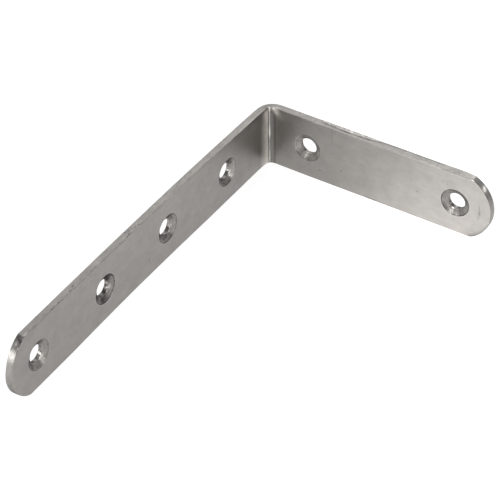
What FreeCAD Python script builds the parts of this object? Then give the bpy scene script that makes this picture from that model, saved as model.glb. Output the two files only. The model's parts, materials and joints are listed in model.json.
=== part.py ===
import FreeCAD, Part
import math
import os

import Sketcher

# L-shaped shelf bracket: a flat steel strip folded once to a right angle.
# Its outer corner is the origin. The long arm runs along +X with its outer face on y = 0,
# the short arm runs along +Y with its outer face on x = 0, and the strip's width runs up +Z.

# Driving sizes in millimetres and degrees, each with what it measures
SIZES = (
    ("long_arm", 125, "outer corner to the tip of the long arm"),
    ("short_arm", 75, "outer corner to the tip of the short arm"),
    ("strip_width", 20, "width of the flat strip"),
    ("strip_thickness", 2.2, "thickness of the flat strip"),
    ("inner_bend_radius", 2.5, "inside radius of the fold"),
    ("end_shoulder", 1, "how far the end radius exceeds half the strip's width"),
    ("edge_break", 0.2, "radius rolled onto the sheared edges"),
    ("screw_hole", 5.2, "diameter of each screw hole"),
    ("countersink", 9, "diameter of each countersink at the inner face"),
    ("countersink_angle", 118, "included angle of each countersink"),
    ("end_distance", 11.25, "tip of an arm to its last hole"),
    ("long_first_hole", 23.75, "outer corner to the first hole of the long arm"),
    ("long_holes", 4, "holes in the long arm"),
    ("short_first_hole", 15.5, "outer corner to the first hole of the short arm"),
    ("short_holes", 2, "holes in the short arm"),
)

# Sizes that follow from the driving ones
DERIVED = (
    ("outer_bend_radius", "=inner_bend_radius + strip_thickness", "outside radius of the fold"),
    ("mid_width", "=strip_width / 2", "height of the hole line"),
    ("end_radius", "=mid_width + end_shoulder", "radius of the rounded tips"),
    ("long_hole_run", "=long_arm - end_distance - long_first_hole", "first to last hole, long arm"),
    ("short_hole_run", "=short_arm - end_distance - short_first_hole", "first to last hole, short arm"),
)

# Each arm with the base plane of its outer face, the way that plane's normal points
# (+1 into the angle, -1 away from it) and the axis that the arm runs along
ARMS = (
    ("long", "XZ_Plane", -1, "X_Axis"),
    ("short", "YZ_Plane", 1, "Y_Axis"),
)

NODE = "bracket"
START, END, CENTRE = range(1, 4)    # a sketch's numbers for the points of an edge
X_AXIS, Y_AXIS = range(-1, -3, -1)    # its own axes are numbered down from -1
ORIGIN_POINT = (X_AXIS, START)
ON_PLANE = 1e-4


def make_sizes(doc):
    """The spreadsheet that holds every size under its own name."""
    sheet = doc.addObject("Spreadsheet::Sheet", "Sizes")
    for row, (name, value, meaning) in enumerate(SIZES + DERIVED, start=1):
        sheet.set(f"A{row}", name)
        sheet.set(f"B{row}", str(value))
        sheet.setAlias(f"B{row}", name)
        sheet.set(f"C{row}", meaning)
    doc.recompute()
    return sheet


def origin_feature(body, role):
    """One of the body's own base planes or axes."""
    return next(item for item in body.Origin.OriginFeatures if item.Role == role)


def make_sketch(body, name, plane):
    """An empty sketch on one of the body's base planes."""
    sketch = body.newObject("Sketcher::SketchObject", name)
    sketch.AttachmentSupport = (origin_feature(body, plane), [""])
    sketch.MapMode = "FlatFace"
    return sketch


def bind(sketch, kind, geometry, expression, guess):
    """A dimension of the sketch that follows an expression of the sheet's sizes."""
    index = sketch.addConstraint(Sketcher.Constraint(kind, *geometry, guess))
    sketch.setExpression(f"Constraints[{index}]", expression)


def flat_circle(centre, radius):
    """A circle in a sketch's own plane."""
    return Part.Circle(FreeCAD.Vector(*centre, 0), FreeCAD.Vector(0, 0, 1), radius)


def add_line(sketch, start, end):
    """A line between two points given in the sketch's own plane."""
    return sketch.addGeometry(Part.LineSegment(FreeCAD.Vector(*start, 0), FreeCAD.Vector(*end, 0)), False)


def add_arc(sketch, centre, radius, first, last):
    """An arc that runs anticlockwise from the first angle to the last, in degrees."""
    circle = flat_circle(centre, radius)
    return sketch.addGeometry(Part.ArcOfCircle(circle, math.radians(first), math.radians(last)), False)


def draw_profile(sketch, sheet):
    """The side of the folded strip: two arms joined by a bend with one centre for both radii."""
    long_arm, short_arm = sheet.long_arm, sheet.short_arm
    thickness, inner, outer = sheet.strip_thickness, sheet.inner_bend_radius, sheet.outer_bend_radius
    centre = (outer, outer)

    outer_long = add_line(sketch, (long_arm, 0), (outer, 0))
    outer_bend = add_arc(sketch, centre, outer, 180, 270)
    outer_short = add_line(sketch, (0, outer), (0, short_arm))
    short_tip = add_line(sketch, (0, short_arm), (thickness, short_arm))
    inner_short = add_line(sketch, (thickness, short_arm), (thickness, outer))
    inner_bend = add_arc(sketch, centre, inner, 180, 270)
    inner_long = add_line(sketch, (outer, thickness), (long_arm, thickness))
    long_tip = add_line(sketch, (long_arm, thickness), (long_arm, 0))

    for line in (outer_long, inner_long, short_tip):
        sketch.addConstraint(Sketcher.Constraint("Horizontal", line))
    for line in (outer_short, inner_short, long_tip):
        sketch.addConstraint(Sketcher.Constraint("Vertical", line))
    for first, second in (
        ((outer_long, END), (outer_bend, END)),
        ((outer_bend, START), (outer_short, START)),
        ((inner_short, END), (inner_bend, START)),
        ((inner_bend, END), (inner_long, START)),
    ):
        sketch.addConstraint(Sketcher.Constraint("Tangent", *first, *second))
    for first, second in (
        ((outer_short, END), (short_tip, START)),
        ((short_tip, END), (inner_short, START)),
        ((inner_long, END), (long_tip, START)),
        ((long_tip, END), (outer_long, START)),
    ):
        sketch.addConstraint(Sketcher.Constraint("Coincident", *first, *second))
    sketch.addConstraint(Sketcher.Constraint("PointOnObject", outer_long, START, X_AXIS))
    sketch.addConstraint(Sketcher.Constraint("PointOnObject", outer_short, END, Y_AXIS))

    bind(sketch, "DistanceX", (*ORIGIN_POINT, outer_long, START), "Sizes.long_arm", long_arm)
    bind(sketch, "DistanceY", (*ORIGIN_POINT, outer_short, END), "Sizes.short_arm", short_arm)
    bind(sketch, "DistanceX", (short_tip, START, short_tip, END), "Sizes.strip_thickness", thickness)
    bind(sketch, "DistanceY", (long_tip, END, long_tip, START), "Sizes.strip_thickness", thickness)
    bind(sketch, "Radius", (inner_bend,), "Sizes.inner_bend_radius", inner)
    bind(sketch, "Radius", (outer_bend,), "Sizes.outer_bend_radius", outer)


def draw_tip_waste(sketch, sheet, arm):
    """What is sheared off round an arm's tip: everything past the end radius.

    The outline passes the strip's edges and tip by the end shoulder.
    """
    length, radius, mid = sheet.get(f"{arm}_arm"), sheet.end_radius, sheet.mid_width
    centre_x = length - radius
    past_tip = length + sheet.end_shoulder

    tip = add_arc(sketch, (centre_x, mid), radius, -90, 90)
    top = add_line(sketch, (centre_x, mid + radius), (past_tip, mid + radius))
    side = add_line(sketch, (past_tip, mid + radius), (past_tip, mid - radius))
    bottom = add_line(sketch, (past_tip, mid - radius), (centre_x, mid - radius))

    sketch.addConstraint(Sketcher.Constraint("Horizontal", top))
    sketch.addConstraint(Sketcher.Constraint("Vertical", side))
    sketch.addConstraint(Sketcher.Constraint("Horizontal", bottom))
    sketch.addConstraint(Sketcher.Constraint("Tangent", tip, END, top, START))
    sketch.addConstraint(Sketcher.Constraint("Coincident", top, END, side, START))
    sketch.addConstraint(Sketcher.Constraint("Coincident", side, END, bottom, START))
    sketch.addConstraint(Sketcher.Constraint("Tangent", bottom, END, tip, START))

    arm_length = f"Sizes.{arm}_arm"
    bind(sketch, "Radius", (tip,), "Sizes.end_radius", radius)
    bind(sketch, "DistanceX", (*ORIGIN_POINT, tip, CENTRE), f"{arm_length} - Sizes.end_radius", centre_x)
    bind(sketch, "DistanceY", (*ORIGIN_POINT, tip, CENTRE), "Sizes.mid_width", mid)
    bind(sketch, "DistanceX", (*ORIGIN_POINT, side, START), f"{arm_length} + Sizes.end_shoulder", past_tip)


def cut_tip(body, sheet, arm, plane):
    """Round the tip of one arm.

    The cut is centred on the arm's outer face and reaches past the inner one by the bend's inside radius.
    """
    doc = body.Document
    sketch = make_sketch(body, f"{arm}_tip_outline", plane)
    draw_tip_waste(sketch, sheet, arm)
    before = body.Tip.Shape.Volume
    pocket = body.newObject("PartDesign::Pocket", f"{arm}_tip")
    pocket.Profile = sketch
    pocket.Type = "Length"
    pocket.Midplane = True
    pocket.setExpression("Length", "2 * Sizes.outer_bend_radius")
    doc.recompute()
    check_cut(pocket, before)


def drill_arm(body, sheet, arm, plane, normal, axis):
    """A row of countersunk screw holes, drilled from the inner face of one arm."""
    doc = body.Document
    first = f"{arm}_first_hole"
    sketch = make_sketch(body, f"{arm}_hole_centre", plane)
    sketch.setExpression("AttachmentOffset.Base.z", f"{normal} * Sizes.strip_thickness")
    place = (sheet.get(first), sheet.mid_width)
    centre = sketch.addGeometry(flat_circle(place, sheet.screw_hole / 2), False)
    bind(sketch, "DistanceX", (*ORIGIN_POINT, centre, CENTRE), f"Sizes.{first}", place[0])
    bind(sketch, "DistanceY", (*ORIGIN_POINT, centre, CENTRE), "Sizes.mid_width", place[1])
    bind(sketch, "Diameter", (centre,), "Sizes.screw_hole", sheet.screw_hole)
    doc.recompute()

    before = body.Tip.Shape.Volume
    hole = body.newObject("PartDesign::Hole", f"{arm}_screw_hole")
    hole.Profile = sketch
    doc.recompute()
    hole.ThreadType = "None"
    hole.DepthType = "ThroughAll"
    hole.Reversed = normal < 0
    hole.HoleCutType = "Countersink"
    hole.HoleCutCustomValues = True
    hole.setExpression("Diameter", "Sizes.screw_hole")
    hole.setExpression("HoleCutDiameter", "Sizes.countersink")
    hole.setExpression("HoleCutCountersinkAngle", "Sizes.countersink_angle")
    doc.recompute()
    check_cut(hole, before)

    before = hole.Shape.Volume
    row = body.newObject("PartDesign::LinearPattern", f"{arm}_screw_holes")
    row.Originals = [hole]
    row.Direction = (origin_feature(body, axis), [""])
    row.setExpression("Length", f"Sizes.{arm}_hole_run")
    row.setExpression("Occurrences", f"Sizes.{arm}_holes")
    body.Tip = row
    doc.recompute()
    check_cut(row, before)


def check_cut(feature, before):
    """Stop where a cut took nothing off."""
    if not feature.Shape.Volume < before:
        raise RuntimeError(f"{feature.Name} cuts nothing")


def sheared_edges(shape, sheet):
    """The edges along the strip's two long sides and round its tips, by name."""

    def on_side(edge):
        heights = (edge.BoundBox.ZMin, edge.BoundBox.ZMax)
        return any(max(abs(z - side) for z in heights) < ON_PLANE for side in (0, sheet.strip_width))

    def on_tip(edge):
        curve = edge.Curve
        return isinstance(curve, Part.Circle) and abs(curve.Radius - sheet.end_radius) < ON_PLANE

    return [
        f"Edge{number}"
        for number, edge in enumerate(shape.Edges, start=1)
        if on_side(edge) or on_tip(edge)
    ]


def roll_edges(body, sheet):
    """Take the sharpness off the sheared edges."""
    before = body.Tip
    fillet = body.newObject("PartDesign::Fillet", "rolled_edges")
    fillet.Base = (before, sheared_edges(before.Shape, sheet))
    fillet.setExpression("Radius", "Sizes.edge_break")
    body.Document.recompute()
    check_cut(fillet, before.Shape.Volume)


def make_bracket(doc, sheet):
    """Fold, rounded tips, screw holes and rolled edges, in the order of the work."""
    body = doc.addObject("PartDesign::Body", NODE)
    body.Label = NODE
    doc.recompute()

    profile = make_sketch(body, "folded_profile", "XY_Plane")
    draw_profile(profile, sheet)
    strip = body.newObject("PartDesign::Pad", "folded_strip")
    strip.Profile = profile
    strip.setExpression("Length", "Sizes.strip_width")
    doc.recompute()

    for arm, plane, _, _ in ARMS:
        cut_tip(body, sheet, arm, plane)
    for arm in ARMS:
        drill_arm(body, sheet, *arm)
    roll_edges(body, sheet)
    return body


def check(doc, parts):
    """Stop before anything is written if an object failed or a shape is not sound."""
    for item in doc.Objects:
        if "Invalid" in item.State or "Error" in item.State:
            raise RuntimeError(f"{item.Name} is {item.State}")
    for part in parts:
        if part.Shape.isNull() or not part.Shape.isValid() or len(part.Shape.Solids) != 1:
            raise RuntimeError(f"{part.Label} is not one sound solid")


def main():
    doc = FreeCAD.newDocument("shelf_bracket")
    sheet = make_sizes(doc)
    parts = [make_bracket(doc, sheet)]
    doc.recompute()
    check(doc, parts)
    os.makedirs("parts", exist_ok=True)
    for part in parts:
        part.Shape.exportStep(f"parts/{part.Label}.step")
        box = part.Shape.optimalBoundingBox(False)
        sides = [round(side, 2) for side in (box.XLength, box.YLength, box.ZLength)]
        print(f"{part.Label}: {part.Shape.Volume:.1f} cubic mm, sides {sides} mm")


main()
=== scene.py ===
"""Looks of an l-shaped shelf bracket: one strip of satin steel, sheared, drilled, countersunk and folded.

The strip is drawn flat first, as its maker has it, in millimetres: along the strip from the middle of the
fold (the long arm is positive), across it from its lower edge, and in depth from its outer face. Then it is
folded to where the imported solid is.
"""

import json
import math

import bpy
import numpy as np
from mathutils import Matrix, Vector, noise
from mathutils.geometry import delaunay_2d_cdt


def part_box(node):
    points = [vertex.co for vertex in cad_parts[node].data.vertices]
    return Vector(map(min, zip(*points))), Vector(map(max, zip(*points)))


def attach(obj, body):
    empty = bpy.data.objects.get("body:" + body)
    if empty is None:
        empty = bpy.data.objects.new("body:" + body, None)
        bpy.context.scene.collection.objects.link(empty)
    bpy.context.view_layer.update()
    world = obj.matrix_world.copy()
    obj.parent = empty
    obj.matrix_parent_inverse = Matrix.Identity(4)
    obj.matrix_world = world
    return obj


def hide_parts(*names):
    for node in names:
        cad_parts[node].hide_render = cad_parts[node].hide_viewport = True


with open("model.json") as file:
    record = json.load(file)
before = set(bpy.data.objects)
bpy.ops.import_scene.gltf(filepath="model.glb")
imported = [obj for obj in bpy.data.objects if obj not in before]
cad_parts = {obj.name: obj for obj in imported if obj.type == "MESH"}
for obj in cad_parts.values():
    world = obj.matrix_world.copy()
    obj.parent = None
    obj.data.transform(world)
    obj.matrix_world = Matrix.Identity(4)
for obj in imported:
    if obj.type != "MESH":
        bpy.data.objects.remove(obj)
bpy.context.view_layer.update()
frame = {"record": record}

MM = 0.001

# The strip's sizes, in millimetres
LOW, HIGH = (np.array(corner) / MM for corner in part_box("bracket"))
LONG_ARM, SHORT_ARM, WIDTH = HIGH - LOW
THICKNESS = 2.2
INNER_BEND = 2.5
OUTER_BEND = INNER_BEND + THICKNESS
MIDDLE_BEND = INNER_BEND + THICKNESS / 2
HALF_ARC = MIDDLE_BEND * math.pi / 4
BEND_FADE = 1.8    # the bend starts and ends softly, over this length
TIP_RADIUS = WIDTH / 2 + 1
OUTER_ROLL = 0.08    # radius of the sheared edge's corner at the outer face
INNER_ROLL = 0.17    # and at the inner face
LOW_ROLL_SHARE = 0.3    # share of that roll at the lower edge

# The screw holes' sizes, in millimetres
SINK_RADIUS = 4.5
SINK_HALF_ANGLE = math.radians(61.5)
LIP = 0.1    # width of the lip that the countersink raised round itself
LIP_TOP = (0.03, 0.012)    # how far out and how high its top is
EXIT_BREAK = 0.08    # width and depth of the broken edge at the outer face
EXIT_MIDDLE = (0.02, 0.03)    # how far out and how deep the middle of that break is

# How finely the surface is divided, in millimetres, radians or steps
EDGE_STEP = 0.3
FACE_STEP = 0.8
BACK_STEP = 1.6
BEND_STEP = math.radians(1.0)
BEND_REACH = HALF_ARC + 0.3    # BEND_STEP is used this far on both sides of the fold's middle
RING_GAPS = (0.12, 0.45)    # a face has rings of points this far inside its edges
GRID_GAP = 0.8    # and its grid stays this far inside them
SCRATCH_GAP = 0.05
SCRATCH_STEP = 0.3
SCRATCH_ROWS = (-1.6, -0.8, 0, 0.8, 1.6)    # rows of points along a scratch, in half widths
TIP_STEPS = 90
ROLL_STEPS = 3
WALL_STEPS = 18
HOLE_STEPS = 90
CONE_STEPS = 26
LAND_STEPS = 5
CURVE_STEPS = 8001
BLEND_STEPS = 13
SHARP_ANGLE = math.radians(38)
TINY = 0.01    # less than any step
SAME_PLACE = 1e-7    # places closer than this are one

# How worn an edge is, from 0 to 1
WORN, LIGHTLY_WORN = 0.6, 0.5

# How far the arms stand from their true planes: place along the strip, shift in x and shift in y
ARMS_SET = np.array((
    (-73, -0.12, 0), (-40, -0.15, 0), (-12, -0.18, 0), (-4, -0.25, 0), (0, -0.2, 0.2), (3.1, 0, 0.42),
    (5.1, 0, 0.33), (8.1, 0, 0.25), (12, 0, 0.17), (18, 0, 0.10), (24, 0, 0.02), (33, 0, -0.09),
    (48, 0, -0.19), (64, 0, -0.18), (78, 0, -0.17), (98, 0, -0.07), (123, 0, 0.05)))
SET_BLEND = 1.5    # length over which that table's corners are blended
BLEND_END = 1.1    # at this share of that length, a row no longer counts

# How far the lower edge leans into the angle: place along the strip, and shift
ARMS_LEAN = np.array((
    (-73, 0.27), (-53, 0.22), (-38, 0.16), (-4, 0.12), (0, 0), (5, -0.2), (12, -0.08), (18, 0), (33, 0.14),
    (48, 0.06), (68, -0.03), (83, 0.08), (98, 0.25), (123, 0.2)))

# How far the long arm bows up in its middle, and where that starts from the outer corner
BOW_UP = 0.27
BOW_START = 8

# How far each tip stands out past its arc: angle up from its middle in degrees, and distance
LONG_TIP_FULL = np.array(((-66, 0), (-56, 0.17), (-46, 0.25), (-36, 0.33), (-8, 0.33), (15, 0)))
SHORT_TIP_FULL = np.array(((-66, 0.05), (-57, 0.2), (-46, 0.13), (-35, 0.1), (-20, 0.05), (-5, 0)))

# Rise of the short arm's upper edge at the outer face: place on the arm, and height
SHORT_TOP_RISE = np.array((
    (40, 0), (46, 0.1), (50, 0.07), (57, 0.11), (61, 0.22), (65.5, 0.25), (67.4, 0.1), (68.6, -0.08),
    (71, 0)))
RISE_DEPTH = 1.6    # depth at which nothing of that rise is left

# The burr on the short arm's upper edge: where it starts and ends on the arm and over what length it fades,
# and the torn line that bounds it, as place on the arm and depth
BURR_SPAN = (20.2, 39, 1.2)
BURR_LINE = np.array((
    (19.2, 0.3), (20.4, 0.92), (22.5, 1.06), (25, 1.25), (27.6, 1.38), (32.5, 1.3), (35.6, 1.1), (38, 0.65),
    (40, 0.2), (54, 0.1)))
BURR_STEP = 0.05    # depth over which the burr ends
TEAR_MIDDLE, TEAR_WIDTH = 0.1, 0.14    # the torn line's middle past the burr's end, and its width
TEAR_SHARE = 0.6    # the torn line's mean strength

# What each feature of the sheared edge adds where it is strongest: height in millimetres, and tone. The
# tone is a painted highlight on the burr's flap and teeth, painted shade in the gaps between the teeth and
# along the torn line, and a darker tone in the pits
FLAP, TEETH, GAP, TEAR, PIT = (0.07, 0.35), (0.12, 0.9), (0, -1.4), (-0.09, -0.5), (-0.08, -0.65)

# The wall is pressed back beside the inner face: the depths where that starts and is full, and how far
PRESSED_SPAN = (1.2, 2.0)
PRESSED_BACK = 0.035

# Pits in the long arm's upper edge: place on the arm, depth and radius
EDGE_PITS = (
    (65.4, 1.95, 0.2), (66.5, 1.56, 0.28), (67.9, 1.33, 0.3), (69.0, 0.95, 0.22), (70.2, 0.74, 0.26),
    (71.3, 0.5, 0.2), (71.2, 1.67, 0.25), (72.2, 1.85, 0.22), (75.7, 1.75, 0.22), (96.5, 1.2, 0.3),
    (98.3, 1.7, 0.2), (103.6, 1.86, 0.25), (105.4, 1.65, 0.22), (106.5, 1.85, 0.25))

# Scratches and pits in the inner faces: place on the arm and height of both ends, half width and depth
LONG_SCRATCHES = (
    (63.4, 6.2, 62.9, 3.4, 0.12, 0.02), (88.0, 14.2, 86.6, 12.4, 0.1, 0.015),
    (38.5, 15.5, 37.6, 12.0, 0.1, 0.012), (97.5, 5.5, 97.6, 5.4, 0.2, 0.03))
SHORT_SCRATCHES = (
    (27.05, 6.26, 27.1, 6.3, 0.2, 0.04), (51.63, 9.11, 51.7, 9.1, 0.2, 0.04),
    (19.9, 3.72, 19.95, 3.75, 0.22, 0.04), (23.68, 18.54, 23.59, 13.88, 0.14, 0.01),
    (71.32, 11.97, 71.4, 10.4, 0.18, 0.025), (71.45, 9.9, 71.5, 8.9, 0.28, 0.04),
    (71.3, 7.9, 71.1, 7.3, 0.2, 0.025), (35.5, 0.42, 38.5, 0.38, 0.12, 0.04))
SCRATCH_TONE = -12    # tone for each millimetre of depth

# Painted highlights and painted shade in each countersink, from the long arm's hole nearest the fold to its
# last one, and then the same on the short arm. The first number is the cone's own tone. Each spot has its
# angle round the hole in degrees from the long arm's direction, its share of the way down the cone (from 1
# to 2 it is down the plain wall), its tone and its radius.
SINK_PAINTED_LIGHT = (
    (-0.1,
     (220, 0.95, 1.2, 0.35), (235, 0.65, 1.1, 0.3), (195, 1.3, 0.5, 0.3), (235, 0.12, 0.7, 0.15),
     (245, 0.12, 0.7, 0.15), (262, 0.7, 0.7, 0.5), (204, 1.3, -0.2, 0.4), (207, 0.85, 0.5, 0.3),
     (150, 1.45, -0.55, 0.6), (180, 1.5, -0.4, 0.3), (150, 0.75, -0.5, 0.6), (122, 0.6, -0.65, 1.1),
     (315, 0.95, -0.4, 0.5), (315, 0.7, -0.3, 0.9), (0, 0.8, -0.3, 0.8), (240, 1.45, 0.6, 0.35),
     (120, 0.2, -0.2, 0.5), (270, 0.2, 0.4, 0.7)),
    (-0.15,
     (120, 0.55, -0.3, 0.5), (122, 0.3, -0.3, 1.1), (180, 1.5, -0.5, 0.3), (215, 1.5, -0.5, 0.3),
     (200, 1.25, 0.8, 0.2), (226, 0.8, -0.35, 0.5), (200, 0.85, 0.4, 0.3), (235, 0.45, 0.2, 0.2),
     (213, 1.6, -0.7, 0.45), (178, 1.75, 0.8, 0.5), (156, 1.08, -0.4, 0.3), (240, 1.45, 0.4, 0.35),
     (270, 0.85, -0.5, 0.5), (300, 1.4, -0.5, 0.6), (255, 1.85, 0.7, 0.3), (190, 0.45, 0.2, 0.4),
     (150, 0.7, -0.5, 0.4), (240, 0.3, -0.5, 0.9), (295, 0.6, -0.35, 1.1), (325, 0.8, -0.25, 0.8),
     (0, 0.8, -0.25, 0.7)),
    (-0.3,
     (122, 0.5, -0.7, 1.5), (210, 0.7, 0.5, 0.5), (150, 0.05, -0.3, 0.4), (185, 0.05, -0.3, 0.3),
     (150, 1.5, -0.6, 0.6), (150, 0.95, -0.5, 0.6), (165, 1.5, -0.5, 0.4), (175, 0.85, -0.5, 0.2),
     (195, 0.87, -0.4, 0.2), (185, 1.3, 0.9, 0.3), (195, 0.72, 0.5, 0.2), (212, 0.87, 1.0, 0.3),
     (210, 1.55, -1.0, 0.45), (226, 1.3, 1.0, 0.3), (248, 1.1, -0.5, 0.4), (285, 0.5, -0.55, 1.3),
     (330, 0.6, -0.3, 1.0), (240, 0.4, -0.35, 0.8), (0, 0.6, -0.25, 0.9), (200, 0.75, 0.4, 0.5)),
    (-0.15,
     (130, 0.55, -0.25, 0.6), (150, 1.4, -0.3, 0.4), (175, 1.5, -0.6, 0.25), (211, 1.2, -0.7, 0.35),
     (196, 1.2, 0.3, 0.3), (227, 0.8, 1.2, 0.4), (228, 1.2, 1.2, 0.3), (241, 1.4, 2.1, 0.4),
     (190, 0.85, 0.2, 0.3), (285, 0.5, -0.15, 0.8), (175, 0.2, -0.2, 0.3), (315, 0.45, -0.45, 1.3),
     (215, 0.7, 0.3, 0.7)),
    (-0.1,
     (350, 1.6, -0.6, 0.5), (22, 1.5, -0.7, 0.6), (315, 1.5, -0.1, 0.4), (345, 0.75, 0.1, 0.3),
     (245, 0.75, 1.5, 0.25), (280, 0.75, 0.9, 0.2), (240, 0.25, 1.3, 0.25), (280, 0.45, 0.9, 0.2),
     (287, 1.4, -1.0, 0.55), (272, 1.5, -0.4, 0.4), (250, 0.8, 1.3, 0.5), (60, 0.6, -0.3, 0.9),
     (90, 0.9, -0.2, 0.4), (15, 0.4, -0.25, 0.9), (245, 0.4, 1.7, 1.5), (290, 0.6, 0.7, 1.3),
     (200, 0.4, 0.5, 1.2), (225, 1.4, -0.5, 0.6)),
    (-0.43,
     (330, 1.7, -0.2, 0.4), (287, 1.5, -0.4, 0.4), (300, 0.85, -0.45, 0.3), (275, 0.45, 0.2, 0.4),
     (255, 0.6, -0.5, 0.5), (315, 0.65, 0.7, 0.6), (243, 1.4, 0.6, 0.4), (60, 0.5, 0.1, 0.8),
     (240, 0.45, 0.5, 1.0), (25, 0.5, -0.1, 1.2), (210, 1.45, -0.4, 0.5), (270, 0.6, -0.2, 0.8)),
)
RIM_SHADE_RING = (0.07, 0.06, -0.35)    # painted shade in a ring below the rim: share of the way down, width and tone
TURNING = (0.24, 21.5, 0.03)    # turned rings: how close they are, seed of their noise and height
TURNING_TONE = (12, 31.5, 0.2)    # and the same for their tone
DIRT_PLACE = 1.5    # how far out the dirt's pattern is read at the rim
CHATTER_SPAN = (1.2, THICKNESS - 0.05, 0.02)    # depths that the cutter's chatter reaches, and how it fades
CHATTER_LOBES = 5

# Painted highlights and painted shade on the sheared tips: angle up from the middle in degrees, depth,
# tone, and how far each reaches in degrees and in depth
LONG_TIP_PAINTED_LIGHT = (
    (61, 0.8, -0.4, 2, 0.4), (58.5, 1.4, -0.6, 2, 0.4), (56.5, 2.0, -0.6, 2, 0.4),
    (54, 0.9, 0.9, 2.5, 0.35), (50.5, 1.1, 0.6, 2, 0.3), (45, 1.1, -0.5, 5, 3), (47, 2.1, 1.8, 1.6, 0.25),
    (-10, 1.1, -0.1, 11, 3), (-33, 1.1, -0.45, 12, 3), (-52, 1.1, -0.2, 9, 3))
SHORT_TIP_PAINTED_LIGHT = (
    (45, 1.0, 2.2, 2.6, 0.5), (42, 1.5, 2.2, 2.6, 0.5), (29, 1.1, -0.35, 9, 3), (10, 1.1, -0.2, 12, 3),
    (-10, 1.1, -0.15, 10, 3), (-26, 1.9, -0.5, 10, 0.9), (-46, 1.7, -0.8, 13, 1.5),
    (-62, 1.6, -0.5, 8, 1.5), (-5, 2.1, -0.35, 14, 0.3))

# The crease that the fold pressed into its inner side: place along the strip, radius of its bottom, depth
# by height, width by height on the long arm's side, and width on the short arm's side
CREASE_PLACE = -0.2
CREASE_ROUND = 0.12
CREASE_DEPTH = np.array(((0, 0.12), (3, 0.3), (16, 0.3), (20, 0.42)))
CREASE_LONG_SIDE = np.array(((15, 0.55), (20, 0.9)))
CREASE_SHORT_SIDE = 0.85

# How far the crease's bottom widens, with the painted glint along it: height, and share. Then how much each
# share adds to its radius, to the painted glint's width and to the painted glint's tone
FLAME = np.array((
    (0.5, 0), (1, 0.35), (4, 0.35), (5, 0), (9, 0.1), (10.5, 0.9), (12.5, 0.7), (14.5, 0.1), (20, 0.1)))
FLAME_ROUND, FLAME_WIDTH, FLAME_GLINT_TONE = 0.16, 0.25, 1.98
# Painted glint along the crease's bottom: its width and tone where the bottom has not widened
GLINT_WIDTH, GLINT_TONE = 0.12, 0.44

# Painted shade in dark lines beside the crease: distance from it, and tone
CREASE_SHADE_LINES = ((0.5, -1.3), (-0.45, -0.5))
CREASE_SHADE_WIDTH = 0.15
SHORT_SIDE_SHADE, SHORT_SIDE_SHADE_SPAN = -0.4, (-2.6, -0.9, 0.5)    # tone, place and fade of a stripe of painted shade there

# Painted shade in dark lines of the inner faces: how far down the one under the upper rim reaches and
# fades, then the width, the angles up from the tip's middle with their fade, and the tone of the one round
# the short arm's tip
RIM_LINE_REACH, RIM_LINE_FADE = 0.9, 0.5
TIP_LINE_WIDTH, TIP_LINE_SPAN, TIP_LINE_TONE = 0.45, (-60, -28, 14), 0.6

# How the fold moved the metal at its top: the height that this takes up and its reach along the strip, then
# how far the inner side rose, the outer side was drawn in and the crushed lumps stand out
TOP_HEIGHT = 2.5
BULGE_REACH = HALF_ARC * 1.1
BULGE_UP, DRAWN_IN = 0.08, 0.26
LUMP_UP, LUMP_OUT = 0.30, 0.24
LUMP_FROM, LUMP_HEIGHT = 5.4, 3.5    # the lumps' start on the short arm, and their height
LUMP_GAP, LUMP_FADE, LUMP_SHARE = 0.2, 0.8, 0.8    # their gap to the crease, fade and mean strength
# Painted highlight on the crushed lumps: how much it brightens them
LUMP_HIGHLIGHT_TONE = 0.9

# Painted highlights and painted shade at the top of the fold, where the metal was crushed: place along the
# strip, height, tone and radius
FOLD_PAINTED_LIGHT = (
    (-0.2, 19.9, 1.6, 0.45), (-0.25, 19.2, 1.5, 0.5), (-1.2, 19.9, 1.2, 0.5), (-1.9, 19.8, 1.5, 0.6),
    (-2.8, 19.1, 2.0, 0.7), (-3.4, 18.3, 1.3, 0.9), (-4.4, 17.3, 0.5, 1.1), (1.2, 19.75, -0.9, 0.4),
    (-1.0, 18.4, -0.3, 0.4))

# The matte band that the fold left beside the crease: height, and where it ends on the long arm's side, the
# lengths over which it ends and starts, where it ends at the top, and its weak part on the short arm
BAND_END = np.array(((0, 4.6), (14, 4.5), (20, 3.7)))
BAND_FADE, BAND_START = 2.0, 0.3
BAND_TOP, BAND_TOP_FADE = 19.9, 1.2
SHORT_BAND, SHORT_BAND_SPAN = 0.12, (-1.8, 0, 0.8)
# Painted highlight over the matte band: how much it brightens the colour
BAND_HIGHLIGHT_TONE = 1.9
# Limits of each point's tone and painted light
TONE_AND_LIGHT_LIMITS = (-0.85, 2.1)

# Uneven patterns: size of their bumps in millimetres, seed of their noise, and strength. Those of the
# sheared edge also say how much smaller the bumps are in depth.
FACE_WAVE, CRUMBS = (14, 7.5, 0.006), (0.9, 14.5, 0.9)
CREASE_EDGE, FLAME_EDGE, BAND_EDGE = (4, 11.5, 0.04), (1.5, 12.5, 0.15), (2.5, 15.5, 0.15)
CHATTER, FACETS, DIRT = (0.4, 0, 0.012), (0.16, 23.5, 0.016), (0.2, 35.5, 0.2)
ROUGH, SLOW_WAVE = (0.9, 1.5, 0.006, 3), (7, 2.5, 0.010, 3)
FINE_TONE, BROAD_TONE, DASHES = (0.6, 4.5, 0.2, 3), (3, 5.5, 0.13, 3), (1.1, 6.5, 0.55, 7.2)
TEETH_EDGE, TORN, GAPS = (0.55, 3.5, 1, 0.4), (0.9, 8.5, 0.9, 0), (0.9, 9.5, 1, 6)

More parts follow.
